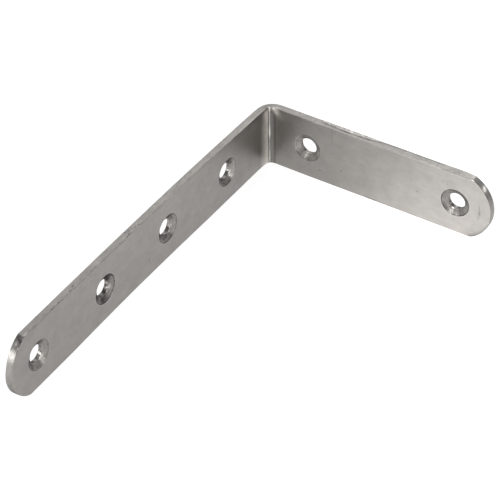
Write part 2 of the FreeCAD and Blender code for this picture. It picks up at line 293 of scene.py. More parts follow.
# The steel's look by finish. Aslant is the tone of reflections at a low angle. Length and width, in
# millimetres, are those of the grain's lines, and bump is the strength of their relief.
STEELS = {
    "brushed_face": dict(
        color=(0.304, 0.289, 0.274), aslant=1.0, length=6.0, width=0.10, roughness=0.41,
        roughness_change=0.10, bump=0.25, tone_change=0.24, stretch=0.6),
    "sheared_edge": dict(
        color=(0.344, 0.330, 0.314), aslant=0.6, length=1.2, width=0.12, roughness=0.42,
        roughness_change=0.15, bump=0.5, tone_change=0.24, stretch=0.2),
    "turned_countersink": dict(
        color=(0.310, 0.295, 0.280), aslant=0.65, length=9.0, width=0.10, roughness=0.30,
        roughness_change=0.12, bump=0.4, tone_change=0.14, stretch=0.5),
}
FACE, EDGE, TURNED = range(len(STEELS))
PATCH_SIZE, PATCH_SHARE = 3.5, 0.8    # size of the soft patches, and their share of the changing tone
SPECK_SPACING, SPECK_SHARE = 1.6, 0.05
SPECK_TONE, SPECK_HEIGHT = -0.35, -1.5
WEAR_TONE = 0.12
MATTE_ROUGHNESS = 0.3
GRAIN_HEIGHT = 0.25    # height of the grain's relief as a share of its lines' width

# The floor's reach in metres, its tone and the white that it shows to the camera and in reflections
FLOOR_REACH = 4.0
FLOOR_TONE = 0.3
FLOOR_WHITE = 0.92

# Soft lamps: name, place, the place that they face, width and height in metres, and radiance
LAMPS = (
    ("right_lamp", (0.275, -0.088, 0.082), (0.01, 0.055, 0.01), (0.09, 0.07), 8.0),
    ("left_lamp", (0.02, 0.62, 0.10), (0.04, 0.025, 0.01), (0.20, 0.14), 4.0),
    ("back_lamp", (-0.49, -0.32, 0.65), (0.04, 0.025, 0.02), (0.9, 0.7), 0.85),
    ("side_lamp", (-0.65, -0.02, 0.56), (0.03, 0.025, 0.02), (0.45, 0.45), 2.0),
    ("small_lamp", (-0.43, 0.45, 0.21), (0.0, 0.07, 0.01), (0.05, 0.05), 16.0),
)

# Lamps that cast a soft pool of light on the floor: name, place, the pool's middle and radius, radiance
POOLS = (
    ("wide_pool", (0.36, 0.12, 0.34), (0.02, 0.075, 0), 0.06, 0.8),
    ("tip_pool", (0.36, 0.10, 0.34), (0.012, 0.062, 0), 0.022, 0.8),
)
POOL_LAMP_RADIUS = 0.02
ROOM_LIGHT = 0.27

# The photograph's view, worked out from the bracket's outline and holes, in millimetres and degrees
CAMERA_PLACE = (432.196, 271.664, 389.512)
CAMERA_TURNS = (50.1430, 0.5252, 122.2538)
FOCAL_LENGTH = 156.71
SENSOR_WIDTH = 36


def on_long(x):
    """Place along the flat strip of a point of the long arm that is x from the outer corner."""
    return x - OUTER_BEND + HALF_ARC


def on_short(y):
    """The same for a point of the short arm that is y from that corner, or the reverse."""
    return OUTER_BEND - HALF_ARC - y


# Middles of the tips' arcs, along the strip
LONG_TIP, SHORT_TIP = on_long(LONG_ARM) - TIP_RADIUS, on_short(SHORT_ARM) + TIP_RADIUS


def look_up(table, place):
    """Value at places between a table's rows of place and value."""
    return np.interp(place, *table.T)


def pairs(first, second):
    """Two rows of numbers, or a row and a number, as an array of pairs."""
    return np.column_stack(np.broadcast_arrays(first, second))


def soften(share):
    """A share from 0 to 1 that starts and ends softly."""
    return share * share * (3 - 2 * share)


def swell(value, start, end, fade):
    """1 from start to end, falling to 0 over the length fade outside them."""
    away = np.maximum(start - value, value - end) / fade
    return soften(np.clip(1 - away, 0, 1))


def bell(value, middle, reach):
    """1 at the middle, falling to about a third at the reach on both sides of it."""
    return np.exp(-((value - middle) / reach) ** 2)


def ripple(places, size, seed, strength=1, hole=0):
    """Smooth noise at points (n, 2), with bumps of about that size and height. Each hole has its own."""
    values = [noise.noise(Vector((a / size, b / size, seed + hole))) for a, b in places]
    return strength * np.array(values)


def edge_ripple(run, depth, size, seed, strength, squeeze):
    """The same along the sheared edge, with bumps that are that much smaller in depth."""
    return ripple(pairs(run, squeeze * depth), size, seed, strength)


def run_along(points):
    """How far along a row of points each of them is."""
    steps = np.linalg.norm(np.diff(points, axis=0), axis=1)
    return np.concatenate([[0], np.cumsum(steps)])


def circle_points():
    """Angles round a hole, the first one again at the end, and points there on a circle of radius 1."""
    angles = np.linspace(0, 2 * math.pi, HOLE_STEPS + 1)
    return angles, pairs(np.cos(angles), np.sin(angles))[:-1]


def fold_line():
    """The strip's middle line through the fold: place along the strip, heading, and its x and y."""
    reach = HALF_ARC + BEND_FADE
    along = np.linspace(-reach, reach, CURVE_STEPS)
    start, end = (np.clip((along + side) / (2 * BEND_FADE) + 0.5, 0, 1) for side in (HALF_ARC, -HALF_ARC))
    curve = (soften(start) - soften(end)) / MIDDLE_BEND
    step = along[1] - along[0]
    heading = np.cumsum(curve) * step
    heading = heading / heading[-1] * math.pi / 2 - math.pi / 2
    x, y = np.cumsum(np.cos(heading)) * step, np.cumsum(np.sin(heading)) * step
    x += THICKNESS / 2 - x[0]
    y += THICKNESS / 2 - y[-1]
    slack = (reach + OUTER_BEND - HALF_ARC - x[-1]) * along / reach
    return along, heading, x + np.maximum(slack, 0), y + np.maximum(-slack, 0)


FOLD_ALONG, FOLD_HEADING, FOLD_X, FOLD_Y = fold_line()


def fold(flat):
    """Folds points of the flat strip (along, across, depth) to their place on the bracket."""
    along, across, depth = flat.T
    heading = np.interp(along, FOLD_ALONG, FOLD_HEADING)
    rise = depth - THICKNESS / 2 + look_up(ARMS_LEAN, along) * (1 - across / WIDTH)
    past_x, past_y = np.maximum(along - FOLD_ALONG[-1], 0), np.maximum(FOLD_ALONG[0] - along, 0)
    x = np.interp(along, FOLD_ALONG, FOLD_X) + past_x - rise * np.sin(heading)
    y = np.interp(along, FOLD_ALONG, FOLD_Y) + past_y + rise * np.cos(heading)
    bow = np.sin(math.pi * np.clip((x - BOW_START) / (LONG_ARM - BOW_START), 0, 1))
    return np.column_stack([x + arm_set(along, 1), y + arm_set(along, 2), across + BOW_UP * bow])


def arm_set(along, column):
    """Shift from the true plane at places along the strip, with the table's corners blended."""
    spread = np.linspace(-SET_BLEND, SET_BLEND, BLEND_STEPS)
    weights = 1 - np.abs(spread) / (SET_BLEND * BLEND_END)
    parts = [w * np.interp(along + s, ARMS_SET[:, 0], ARMS_SET[:, column]) for s, w in zip(spread, weights)]
    return sum(parts) / weights.sum()


def holes():
    """Middle of each screw hole along the flat strip, and its radius."""
    for mount in frame["record"]["mounts"]:
        if mount["kind"] == "bore":
            x, y, _ = (value / MM for value in mount["pos_m"])
            yield (on_long(x) if x > y else on_short(y)), mount["dims"]["r_mm"]


HOLES = list(holes())
INNER_OPENINGS = [SINK_RADIUS + LIP] * len(HOLES)
OUTER_OPENINGS = [radius + EXIT_BREAK for _, radius in HOLES]


class Skin:
    """The strip's surface while it is laid out flat."""

    def __init__(self):
        self.points, self.wear, self.mark = np.zeros((0, 3)), np.zeros(0), np.zeros(0)
        self.faces, self.finish, self.grain = [], [], []

    def add(self, flat, depth, wear, mark=0):
        """Adds points (along, across) of one depth and returns their numbers.

        Wear is 1 on a worn edge and 0 away from it. The last value holds painted highlights and painted
        shade,
        with scratches and uneven tone: above 0 it brightens the colour, and below 0 it darkens it.
        """
        first, count = len(self.points), len(flat)
        self.points = np.vstack([self.points, np.column_stack([flat, np.full(count, depth)])])
        self.wear = np.concatenate([self.wear, np.broadcast_to(wear, count)])
        self.mark = np.concatenate([self.mark, np.broadcast_to(mark, count)])
        return np.arange(first, first + count)

    def band(self, rings, rise, run, finish):
        """Joins closed rings by quads. The grain runs along the rings' run, and rise is across it."""
        for high in range(1, len(rings)):
            low, count = high - 1, len(rings[high])
            for i in range(count):
                j = (i + 1) % count
                self.faces.append((rings[low][i], rings[low][j], rings[high][j], rings[high][i]))
                self.finish.append(finish)
                self.grain.append(((rise[low], run[i]), (rise[low], run[i + 1]),
                                   (rise[high], run[i + 1]), (rise[high], run[i])))

    def sheet(self, edges, inside, depth, wear, openings, upward):
        """Fills the flat face inside the first ring and outside the others with triangles."""
        numbers = np.concatenate([*edges, self.add(inside, depth, wear)])
        borders, first = [], 0
        for ring in edges:
            borders += [(first + i, first + (i + 1) % len(ring)) for i in range(len(ring))]
            first += len(ring)
        flat = [Vector(self.points[n, :2]) for n in numbers]
        places, _, triangles, origins, _, _ = delaunay_2d_cdt(flat, borders, [], 0, SAME_PLACE)
        for corners in triangles:
            x, y = sum((places[c] for c in corners), Vector((0, 0))) / len(corners)
            if any(math.hypot(x - along, y - WIDTH / 2) < opening
                   for (along, _), opening in zip(HOLES, openings)):
                continue
            turned = corners if upward else corners[::-1]
            picked = [numbers[origins[c][0]] for c in turned]
            self.faces.append(tuple(picked))
            self.finish.append(FACE)
            self.grain.append(tuple((self.points[n, 1], self.points[n, 0]) for n in picked))


def tip_turn(inset):
    """Half the angle of a tip's arc."""
    return math.asin((WIDTH / 2 - inset) / (TIP_RADIUS - inset))


def straight_ends(inset):
    """Where the strip's straight edges end, along the strip, at the short arm's and the long arm's tip."""
    reach = (TIP_RADIUS - inset) * math.cos(tip_turn(inset)) - TIP_RADIUS
    return on_short(SHORT_ARM) - reach, on_long(LONG_ARM) + reach


def bend_places(step):
    """Places along the strip through the fold, by a step in radians."""
    return np.linspace(-BEND_REACH, BEND_REACH, round(2 * BEND_REACH / (step * MIDDLE_BEND)) + 1)


def edge_shares():
    """Shares of the way from the short arm's shoulder to the long arm's, close together in the bend."""
    start, end = straight_ends(0)
    parts = [np.linspace(start, -BEND_REACH, round((-BEND_REACH - start) / EDGE_STEP) + 1)[:-1],
             bend_places(BEND_STEP)[:-1],
             np.linspace(BEND_REACH, end, round((end - BEND_REACH) / EDGE_STEP) + 1)]
    return (np.concatenate(parts) - start) / (end - start)


EDGE_SHARES = edge_shares()


def outline(inset):
    """Outline (along, across) of the flat strip, set in from its sheared edge."""
    start, end = straight_ends(inset)
    run = start + (end - start) * EDGE_SHARES
    turn = tip_turn(inset)
    angles = np.linspace(-turn, turn, TIP_STEPS + 1)[1:-1]
    bow = pairs(np.cos(angles), np.sin(angles))
    long_bow = bow * (TIP_RADIUS - inset + look_up(LONG_TIP_FULL, np.degrees(angles)))[:, None]
    short_bow = bow * (TIP_RADIUS - inset + look_up(SHORT_TIP_FULL, np.degrees(-angles)))[:, None]
    middle = np.array([0, WIDTH / 2])
    points = np.vstack([
        pairs(run, inset),
        long_bow + middle + (LONG_TIP, 0),
        pairs(run[::-1], WIDTH - inset),
        middle - short_bow + (SHORT_TIP, 0),
    ])
    points[:, 1] -= (1 - LOW_ROLL_SHARE) * inset * (1 - points[:, 1] / WIDTH)
    return points


def inside_outline(places, inset):
    """Which places lie inside the strip's outline, set in from its edge."""
    along, across = places.T
    past = np.maximum(along - LONG_TIP, SHORT_TIP - along)
    in_tip = np.hypot(np.maximum(past, 0), across - WIDTH / 2) < TIP_RADIUS - inset
    return (np.abs(across - WIDTH / 2) < WIDTH / 2 - inset) & in_tip


def wall_section():
    """(inset, depth, share of the wall's relief) of each ring, from the outer face to the inner one."""
    turns = np.linspace(0, math.pi / 2, ROLL_STEPS + 1)
    roll = [(1 - math.sin(turn), 1 - math.cos(turn)) for turn in turns]
    outer = [(OUTER_ROLL * inset, OUTER_ROLL * depth, 1 - inset) for inset, depth in roll]
    straight = np.linspace(OUTER_ROLL, THICKNESS - INNER_ROLL, WALL_STEPS + 1)[1:-1]
    inner = [(INNER_ROLL * inset, THICKNESS - INNER_ROLL * depth, 1 - inset) for inset, depth in roll[::-1]]
    return outer + [(0, depth, 1) for depth in straight] + inner


def add_wall(skin):
    """The sheared edge all round. Returns its rings on the outer and on the inner face."""
    section = wall_section()
    rim = outline(0)
    out = rim - outline(INNER_ROLL)
    out /= np.linalg.norm(out, axis=1)[:, None]
    run = run_along(np.vstack([rim, rim[:1]]))
    rings = []
    for inset, depth, share in section:
        relief, mark = edge_relief(rim, run[:-1], depth)
        flat = outline(inset) + out * (relief * share)[:, None]
        rings.append(skin.add(flat, depth, WORN * (0 < share < 1), mark * share))
    skin.band(rings, [depth for _, depth, _ in section], run, EDGE)
    return rings[0], rings[-1]


def edge_relief(rim, run, depth):
    """Height of the sheared edge at each point of a ring, from its burr, tears and pits, and its tone with
    painted light.
    """
    along, across = rim.T
    upper = across > WIDTH / 2
    near_inner = np.interp(depth, PRESSED_SPAN, (0, 1)) ** 2
    near_outer = np.interp(depth, (0, RISE_DEPTH), (1, 0))

    relief = edge_ripple(run, depth, *ROUGH) + edge_ripple(run, depth, *SLOW_WAVE)
    relief += look_up(SHORT_TOP_RISE, on_short(along)) * upper * near_outer - PRESSED_BACK * near_inner
    mark = edge_ripple(run, depth, *FINE_TONE) + edge_ripple(run, depth, *BROAD_TONE)
    mark += tip_painted_light(rim, depth) + stretches_tone_and_painted_light(along, run, depth, upper, near_inner, near_outer)

    flap, tear, teeth = burr(along, run, depth)
    gaps = np.maximum(edge_ripple(run, depth, *GAPS), 0)
    features = ((flap, FLAP), (flap * teeth, TEETH), (flap * gaps, GAP), (tear, TEAR),
                (edge_pits(along, depth), PIT))
    for share, (height, tone) in features:
        relief += height * share * upper
        mark += tone * share * upper
    return relief, mark


def stretches_tone_and_painted_light(along, run, depth, upper, near_inner, near_outer):
    """Painted highlights and painted shade on stretches of the sheared edge at one depth, and dashes of
    uneven tone.
    """
    on_inner_roll = depth > THICKNESS - INNER_ROLL
    past_middle = np.interp(depth, (1, 2), (0, 1))
    dashes = edge_ripple(run, depth, *DASHES) * bell(depth, 1.55, 0.35)
    stretches = (
        # start and end along the strip, fade outside them, and tone
        (on_short(72), on_short(62), 5, -0.9 * on_inner_roll * upper),
        (on_short(67), on_short(52), 1.5, dashes * upper),
        (on_short(58), on_short(41), 2.5, -0.7 * bell(depth, 0, 0.4) * upper),
        (on_short(38), on_short(22), 6, 0.3 * near_inner * upper),
        (on_short(19), on_short(2), 2, 0.13 * upper),
        (on_short(5), 0.2, 0.8, 0.5 * past_middle * upper),
        (-2.5, 1.5, 2, 0.4 * near_outer * upper),
        (on_long(20), on_long(118), 10, -0.18 * near_inner),
        (on_long(117.5), on_long(119.3), 0.8, 0.5 * bell(depth, 1.9, 0.5) * upper),
    )
    return sum(tone * swell(along, start, end, fade) for start, end, fade, tone in stretches)


def tip_painted_light(rim, depth):
    """Painted highlights and painted shade round both tips, at the points of a ring."""
    along, across = rim.T
    tone = np.zeros(len(rim))
    for middle, side, marks in ((LONG_TIP, 1, LONG_TIP_PAINTED_LIGHT), (SHORT_TIP, -1, SHORT_TIP_PAINTED_LIGHT)):
        out = side * (along - middle)
        turn = np.degrees(np.arctan2(across - WIDTH / 2, out))
        on_tip = out > TIP_RADIUS * math.cos(tip_turn(0)) + TINY
        for angle, place, strength, reach, reach_down in marks:
            tone += strength * bell(turn, angle, reach) * bell(depth, place, reach_down) * on_tip
    return tone


def burr(along, run, depth):
    """The short arm's burr: shares of its raised flap and of the torn line beside it, and its teeth."""
    line = look_up(BURR_LINE, on_short(along))
    there = swell(on_short(along), *BURR_SPAN)
    flap = there / (1 + np.exp((depth - line) / BURR_STEP))
    torn = TEAR_SHARE + edge_ripple(run, depth, *TORN)
    tear = there * bell(depth, line + TEAR_MIDDLE, TEAR_WIDTH) * torn
    teeth = np.abs(edge_ripple(run, depth, *TEETH_EDGE))
    return flap, tear, teeth


def edge_pits(along, depth):
    """Share of a pit's full depth at each point of the upper edge."""
    return sum(bell(np.hypot(along - on_long(x), depth - middle), 0, radius)
               for x, middle, radius in EDGE_PITS)


def cone_place(radius, share):
    """Radius and depth of a place that share of the way down a countersink."""
    land = THICKNESS - (SINK_RADIUS - radius) / math.tan(SINK_HALF_ANGLE)
    return SINK_RADIUS + (radius - SINK_RADIUS) * share, THICKNESS + (land - THICKNESS) * share


def hole_section(radius, hole):
    """(radius, depth, wear, share of the way down the cone) of the hole's rings, from the inner face."""
    out, up = LIP_TOP
    section = [(SINK_RADIUS + LIP, THICKNESS, WORN, 0), (SINK_RADIUS + out, THICKNESS + up, WORN, 0)]
    spacing, seed, height = TURNING
    for i in range(CONE_STEPS + 1):
        share = i / CONE_STEPS
        size, depth = cone_place(radius, share)
        turned = (0 < i < CONE_STEPS) * height * noise.noise(Vector((i * spacing, hole, seed)))
        section.append((size + turned * math.cos(SINK_HALF_ANGLE),
                        depth - turned * math.sin(SINK_HALF_ANGLE), 0, share))
    _, land = cone_place(radius, 1)
    section += [(radius, depth, 0, 1) for depth in np.linspace(land, EXIT_BREAK, LAND_STEPS + 1)[1:]]
    out, depth = EXIT_MIDDLE
    return section + [(radius + out, depth, WORN, 1), (radius + EXIT_BREAK, 0, WORN, 1)]


def add_hole(skin, along, radius, hole):
    """A drilled and countersunk hole. Returns its rings, from the inner face to the outer one."""
    section = hole_section(radius, hole)
    angles, circle = circle_points()
    lobes = CHATTER[-1] * np.sin(CHATTER_LOBES * angles[:-1] + hole)
    chatter = lobes + ripple(circle, *CHATTER, hole)
    rings = []
    for size, depth, wear, share in section:
        facets = ripple(circle * (1 + share), *FACETS, hole) * (0 < share < 1)
        moved = chatter * swell(depth, *CHATTER_SPAN) + facets
        flat = (along, WIDTH / 2) + circle * (size + moved)[:, None]
        # The countersink's tone, with its painted highlights and painted shade
        mark = sink_tone_and_painted_light(circle, size, depth, share, hole) * (share > 0)
        rings.append(skin.add(flat, depth, wear, mark))
    skin.band(rings, run_along([place[:2] for place in section]), angles * SINK_RADIUS, TURNED)
    return rings


def sink_tone_and_painted_light(circle, size, depth, share, hole):
    """Tone round a countersink: own tone, turned rings and uneven dirt, with painted highlights and painted
    shade.
    """
    own, *marks = SINK_PAINTED_LIGHT[hole]
    radius = HOLES[hole][1]
    _, land = cone_place(radius, 1)
    points = np.column_stack([circle * size, np.full(len(circle), depth)])
    rings, seed, strength = TURNING_TONE
    turned = strength * noise.noise(Vector((share * rings, hole, seed)))
    tone = own + turned + ripple(circle * (DIRT_PLACE + share), *DIRT, hole)
    middle, width, dark = RIM_SHADE_RING
    tone += dark * bell(share, middle, width)
    for angle, down, strength, reach in marks:
        turn = math.radians(angle)
        place_radius, place_depth = cone_place(radius, down) if down < 1 else (radius, land * (2 - down))
        place = np.array((place_radius * math.cos(turn), place_radius * math.sin(turn), place_depth))
        tone += strength * bell(np.linalg.norm(points - place, axis=1), 0, reach)
    return tone


def add_faces(skin, rims, drilled):
    """Fills the outer and the inner face between the rims of the sheared edge and the holes' rings."""
    outer_rim, inner_rim = rims
    outer_edges = [outer_rim] + [rings[-1] for rings in drilled]
    inner_edges = [inner_rim] + [rings[0] for rings in drilled]
    places, wear = spots(FACE_STEP, BEND_STEP, INNER_OPENINGS, INNER_ROLL, scratch_points())
    skin.sheet(inner_edges, places, THICKNESS, wear, INNER_OPENINGS, upward=False)
    places, wear = spots(BACK_STEP, 2 * BEND_STEP, OUTER_OPENINGS, OUTER_ROLL, np.zeros((0, 2)))
    skin.sheet(outer_edges, places, 0, wear, OUTER_OPENINGS, upward=True)


def spots(step, bend_step, openings, roll, extra):
    """Places inside a face's edges, where its triangles get a corner, and how worn it is there."""
    columns = np.concatenate([np.arange(on_short(SHORT_ARM), -BEND_REACH - step / 2, step),
                              bend_places(bend_step),
                              np.arange(BEND_REACH + step, on_long(LONG_ARM), step)])
    rows = np.linspace(0, WIDTH, round(WIDTH / step) + 1)
    grid = np.array([(a, b) for a in columns for b in rows])
    places = np.vstack([grid[inside_outline(grid, roll + GRID_GAP)],
                        extra[inside_outline(extra, roll + SCRATCH_GAP)]])
    for (along, _), opening in zip(HOLES, openings):
        away = np.hypot(places[:, 0] - along, places[:, 1] - WIDTH / 2)
        places = places[away > opening + GRID_GAP]
    rings = [outline(roll + gap)[::2] for gap in RING_GAPS]
    _, circle = circle_points()
    near = [(along, WIDTH / 2) + circle * (opening + gap)
            for (along, _), opening in zip(HOLES, openings) for gap in RING_GAPS]
    wear = np.concatenate([
        np.zeros(len(places)), np.full(len(rings[0]), LIGHTLY_WORN), np.zeros(len(rings[1])),
        np.tile(np.repeat([LIGHTLY_WORN, 0], HOLE_STEPS), len(HOLES))])
    return np.vstack([places, *rings, *near]), wear


def scratches():
    """Both ends on the flat strip, half width and depth of every scratch and pit in the inner faces."""
    for place, marks in ((on_long, LONG_SCRATCHES), (on_short, SHORT_SCRATCHES)):
        for x, height, end_x, end_height, width, depth in marks:
            yield np.array((place(x), height)), np.array((place(end_x), end_height)), width, depth


def scratch_points():
    """Rows of places along every scratch, so that the face has corners to form it."""
    rows = []
    for start, end, width, _ in scratches():
        run = end - start
        length = np.hypot(*run)
        run = run / length
        side = np.array((-run[1], run[0])) * width
        steps = np.linspace(-width, length + width, max(5, round(length / SCRATCH_STEP)))
        rows.append(np.array([start + run * s + side * w for s in steps for w in SCRATCH_ROWS]))
    return np.vstack(rows)


def scratched(along, across):
    """Depth of the scratches at points of the inner faces."""
    place = pairs(along, across)
    depths = np.zeros(len(place))
    for start, end, width, depth in scratches():
        run = end - start
        share = np.clip((place - start) @ run / (run @ run), 0, 1)
        depths += depth * bell(np.linalg.norm(place - start - share[:, None] * run, axis=1), 0, width)
    return depths


def crease_line(across):
    """Where the crease in the fold's inner side runs, and how far its bright bottom widens."""
    middle = CREASE_PLACE + ripple(pairs(across, 0), *CREASE_EDGE)
    flame = look_up(FLAME, across) + ripple(pairs(across, 0), *FLAME_EDGE)
    return middle, np.maximum(flame, 0)


def crease(along, across):
    """Depth of the crease that the fold pressed into its inner side."""
    middle, flame = crease_line(across)
    bottom = CREASE_ROUND + FLAME_ROUND * flame
    away = np.hypot(along - middle, bottom) - bottom
    width = np.where(along > middle, look_up(CREASE_LONG_SIDE, across), CREASE_SHORT_SIDE)
    return -look_up(CREASE_DEPTH, across) * np.exp(-away / width)


def fold_lump(along, across):
    """The crushed metal that stands out at the top of the fold, on the short arm's side of the crease."""
    top = np.clip((across - WIDTH + LUMP_HEIGHT) / LUMP_HEIGHT, 0, 1) ** 2
    there = swell(along, on_short(LUMP_FROM), CREASE_PLACE - LUMP_GAP, LUMP_FADE) * top
    return there * (LUMP_SHARE + ripple(pairs(along, across), *CRUMBS))


def face_relief(flat):
    """Moves the strip's points for the face's slight waves and for how the metal bulged in the fold."""
    along, across, depth = flat.T
    share = depth / THICKNESS
    in_fold = bell(along, 0, BULGE_REACH)
    top = np.clip((across - WIDTH + TOP_HEIGHT) / TOP_HEIGHT, 0, 1) ** 2
    lump = fold_lump(along, across)
    moved = flat.copy()
    moved[:, 1] += in_fold * top * (BULGE_UP * share - DRAWN_IN * (1 - share))
    moved[:, 1] += LUMP_UP * lump * top * share ** 4
    moved[:, 2] += ripple(flat[:, :2], *FACE_WAVE) * share
    moved[:, 2] += crease(along, across) * share ** 2 + LUMP_OUT * lump * share ** 6
    moved[:, 2] -= scratched(along, across) * (depth >= THICKNESS)
    return moved


def face_marks_and_painted_light(flat):
    """Painted highlights and painted shade on the inner faces and the fold, and the darker tone of the
    scratches.
    """
    along, across, depth = flat.T
    middle, flame = crease_line(across)
    # Painted glint on the crease, painted shade beside it, painted highlights on the lumps and the band
    glint = (GLINT_TONE + FLAME_GLINT_TONE * flame) * bell(along, middle, GLINT_WIDTH + FLAME_WIDTH * flame)
    shade_lines = sum(tone * bell(along, middle + side, CREASE_SHADE_WIDTH) for side, tone in CREASE_SHADE_LINES)
    side_shade = SHORT_SIDE_SHADE * swell(along, *SHORT_SIDE_SHADE_SPAN)
    lump_highlight = LUMP_HIGHLIGHT_TONE * np.clip(fold_lump(along, across), 0, 1)
    tone = glint + shade_lines + side_shade + lump_highlight + BAND_HIGHLIGHT_TONE * matte_band(along, across) + rim_painted_shade(along, across)
    for place, height, strength, radius in FOLD_PAINTED_LIGHT:
        tone += strength * bell(np.hypot(along - place, across - height), 0, radius)
    return (depth >= THICKNESS) * (tone + SCRATCH_TONE * scratched(along, across))


def rim_painted_shade(along, across):
    """Painted shade in dark lines of the inner faces: under the upper rim beside the fold, and round the
    short arm's tip.
    """
    under_rim = np.clip((across - WIDTH + RIM_LINE_REACH) / RIM_LINE_FADE, 0, 1)
    beside_fold = (0.4 * swell(along, on_long(4), on_long(11), 3)
                   + 0.2 * swell(along, on_short(8), on_short(5.5), 1.5))
    out, up = SHORT_TIP - along, across - WIDTH / 2
    at_tip = np.clip(1 - (TIP_RADIUS - np.hypot(out, up)) / TIP_LINE_WIDTH, 0, 1) * (out > 0)
    low = TIP_LINE_TONE * swell(np.degrees(np.arctan2(up, out)), *TIP_LINE_SPAN)
    return -under_rim * beside_fold - at_tip * low


def matte_band(along, across):
    """Share of the matte finish that the fold gave the metal beside the crease, and of the painted
    highlight there.
    """
    middle, _ = crease_line(across)
    end = look_up(BAND_END, across) + ripple(pairs(across, 0), *BAND_EDGE)
    band = np.clip((end - along) / BAND_FADE, 0, 1)
    band *= np.clip((along - middle - BAND_START) / BAND_START, 0, 1)
    band *= np.clip((BAND_TOP - across) / BAND_TOP_FADE, 0, 1)
    return band + SHORT_BAND * swell(along, *SHORT_BAND_SPAN) * (along <= middle)


def make_bracket():
    """Lays out the flat strip's surface, folds it and makes the bracket's piece."""
    skin = Skin()
    rims = add_wall(skin)
    drilled = [add_hole(skin, along, radius, hole) for hole, (along, radius) in enumerate(HOLES)]
    add_faces(skin, rims, drilled)

    places = fold(face_relief(skin.points)) * MM
    mesh = bpy.data.meshes.new("bracket_strip")
    mesh.from_pydata(places.tolist(), [], [[int(n) for n in face] for face in skin.faces])
    for finish, look in STEELS.items():
        mesh.materials.append(steel_material(finish, **look))
    mesh.polygons.foreach_set("material_index", skin.finish)
    strip_place = mesh.attributes.new("strip_place", "FLOAT_VECTOR", "POINT")
    strip_place.data.foreach_set("vector", skin.points.ravel())
    on_inner_face = skin.points[:, 2] >= THICKNESS
    store(mesh, "edge_wear", skin.wear)
    # Each point's tone: painted highlights and painted shade, with the scratches and uneven tone
    store(mesh, "mark", np.clip(skin.mark + face_marks_and_painted_light(skin.points), *TONE_AND_LIGHT_LIMITS))
    store(mesh, "matte", matte_band(*skin.points[:, :2].T) * on_inner_face)
    grain = mesh.uv_layers.new(name="grain")
    grain.uv.foreach_set("vector", np.array([corner for face in skin.grain for corner in face]).ravel())
    mesh.shade_smooth()
    mesh.set_sharp_from_angle(angle=SHARP_ANGLE)
    return new_object("bracket_strip", mesh)


def new_object(name, data):
    """Puts an object into the scene."""
    made = bpy.data.objects.new(name, data)
    bpy.context.scene.collection.objects.link(made)
    return made


def store(mesh, name, values):
    """Keeps a number for each point of the mesh, for its materials to read."""
    mesh.attributes.new(name, "FLOAT", "POINT").data.foreach_set("value", values)


def fill(tree, node, sockets):
    """Gives a node's sockets their values: a link from another node's output, or a constant."""
    for name, value in sockets.items():
        if isinstance(value, bpy.types.NodeSocket):
            tree.links.new(value, node.inputs[name])
        else:
            node.inputs[name].default_value = value


def add(tree, kind, sockets=None, **settings):
    """Adds a node with its settings and its sockets' values."""
    made = tree.nodes.new(kind)
    for name, value in settings.items():
        setattr(made, name, value)
    fill(tree, made, sockets or {})
    return made


def calc(tree, operation, *values, clamp=False):
    """A number worked out from one, two or three others."""
    sockets = dict(enumerate(values))
    return add(tree, "ShaderNodeMath", sockets, operation=operation, use_clamp=clamp).outputs[0]


def read(tree, name, output="Fac"):
    """What the mesh keeps under that name."""
    return add(tree, "ShaderNodeAttribute", attribute_name=name).outputs[output]


def new_material(name):
    """A material, its nodes, and the input that takes its shader."""
    material = bpy.data.materials.new(name)
    material.use_nodes = True
    material.node_tree.nodes.clear()
    end = material.node_tree.nodes.new("ShaderNodeOutputMaterial")
    return material, material.node_tree, end.inputs["Surface"]


def new_group(name, inputs, outputs):
    """An empty node group. It takes a place and the named inputs, and gives the named outputs."""
    tree = bpy.data.node_groups.new(name, "ShaderNodeTree")
    tree.interface.new_socket("Place", in_out="INPUT", socket_type="NodeSocketVector")
    for label, value in inputs.items():
        socket = tree.interface.new_socket(label, in_out="INPUT", socket_type="NodeSocketFloat")
        socket.default_value = value
    for label in outputs:
        tree.interface.new_socket(label, in_out="OUTPUT", socket_type="NodeSocketFloat")
    return tree, tree.nodes.new("NodeGroupInput").outputs, tree.nodes.new("NodeGroupOutput").inputs


def grain_group():
    """Lines left by a belt or a cutter: fine ones in the height, and broader ones in the tone."""
    tree, given, out = new_group("Grain lines", {"Length": 8.0, "Width": 0.12}, ("Height", "Tone"))
    parts = add(tree, "ShaderNodeSeparateXYZ", {0: given["Place"]}).outputs
    along = calc(tree, "DIVIDE", parts[1], given["Length"])
    wide = calc(tree, "MULTIPLY", given["Width"], 7.0)
    kinds = ((given["Width"], 3.0, 0.6, "Height"), (wide, 2.0, 0.5, "Tone"))
    for width, detail, roughness, output in kinds:
        across = calc(tree, "DIVIDE", parts[0], width)
        place = add(tree, "ShaderNodeCombineXYZ", {0: across, 1: along}).outputs[0]
        lines = add(tree, "ShaderNodeTexNoise",
                    {"Vector": place, "Detail": detail, "Roughness": roughness, "Scale": 1.0},
                    noise_dimensions="2D")
        tree.links.new(lines.outputs["Fac"], out[output])
    return tree


def blotch_group():
    """Soft uneven patches, as tumbling leaves on steel."""
    tree, given, out = new_group("Soft patches", {"Size": 6.0}, ("Patch",))
    scale = calc(tree, "DIVIDE", 1.0, given["Size"])
    patch = add(tree, "ShaderNodeTexNoise",
                {"Vector": given["Place"], "Scale": scale, "Detail": 4.0, "Roughness": 0.6})
    tree.links.new(patch.outputs["Fac"], out["Patch"])
    return tree


